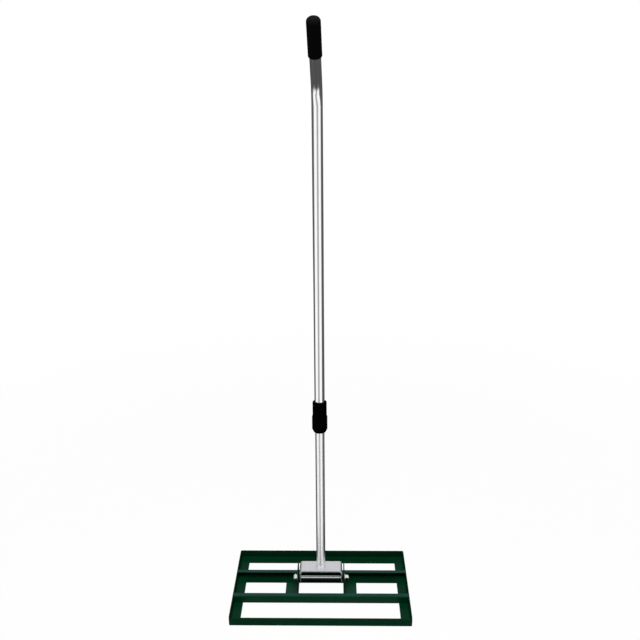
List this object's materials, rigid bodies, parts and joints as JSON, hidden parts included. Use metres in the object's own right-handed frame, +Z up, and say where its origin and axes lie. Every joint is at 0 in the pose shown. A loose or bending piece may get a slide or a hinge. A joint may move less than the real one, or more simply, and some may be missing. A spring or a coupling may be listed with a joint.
{
  "type": "lawn leveling rake",
  "caption": "Lawn leveling rake: flat open drag frame of green steel bars, with a bolted hinge and a telescopic bright steel handle that has a twist lock, a bent end and a black grip.",
  "frame": {"origin": "on the ground, below the middle of the drag frame and of the hinge bolt", "axes": "+Z up, +X to the right seen from the front (the side of the picture), -Y to the front; the hinge bolt runs along X"},
  "size_m": [0.43, 0.253, 1.3312],
  "materials": {
    "green_paint": "dark green gloss paint on steel",
    "bright_tube": "polished bright steel tube",
    "bright_strap": "bright plated steel strip",
    "zinc_hardware": "bright zinc plated fasteners",
    "black_plastic": "moulded black plastic",
    "black_rubber": "soft black rubber sleeve",
    "white_nylon": "natural white nylon"
  },
  "bodies": {
    "drag_frame": {"front_bar": "green_paint", "rear_bar": "green_paint", "left_side_bar": "green_paint", "right_side_bar": "green_paint", "front_middle_bar": "green_paint", "rear_middle_bar": "green_paint", "left_hinge_bracket": "green_paint", "right_hinge_bracket": "green_paint", "pivot_bolt": "zinc_hardware", "bolt_washers": "zinc_hardware", "lock_washer": "zinc_hardware", "spacer_washers": "black_plastic", "pivot_nut": "zinc_hardware", "nut_insert": "white_nylon"},
    "lower_handle": {"handle_clevis": "bright_strap", "lower_tube": "bright_tube", "tube_guide": "black_plastic"},
    "collet": {"lock_collet": "white_nylon"},
    "upper_handle": {"lock_collar": "black_plastic", "upper_tube": "bright_tube", "hand_grip": "black_rubber"},
    "lock_nut": {"twist_nut": "black_plastic"}
  },
  "joints": [
    {"name": "handle_tilt", "type": "hinge", "parent": "drag_frame", "child": "lower_handle", "pos_m": [0, 0, 0.038], "axis": [1, 0, 0], "range_deg": [-85, 90]},
    {"name": "handle_slide", "type": "slide", "parent": "lower_handle", "child": "collet", "axis": [0, 0.0872, 0.9962], "range_m": [-0.25, 0.25]},
    {"name": "handle_swivel", "type": "hinge", "parent": "collet", "child": "upper_handle", "pos_m": [0, 0.03486, 0.43648], "axis": [0, 0.0872, 0.9962], "continuous": true},
    {"name": "lock_twist", "type": "hinge", "parent": "upper_handle", "child": "lock_nut", "pos_m": [0, 0.03486, 0.43648], "axis": [0, 0.0872, 0.9962], "range_deg": [0, 120]}
  ]
}
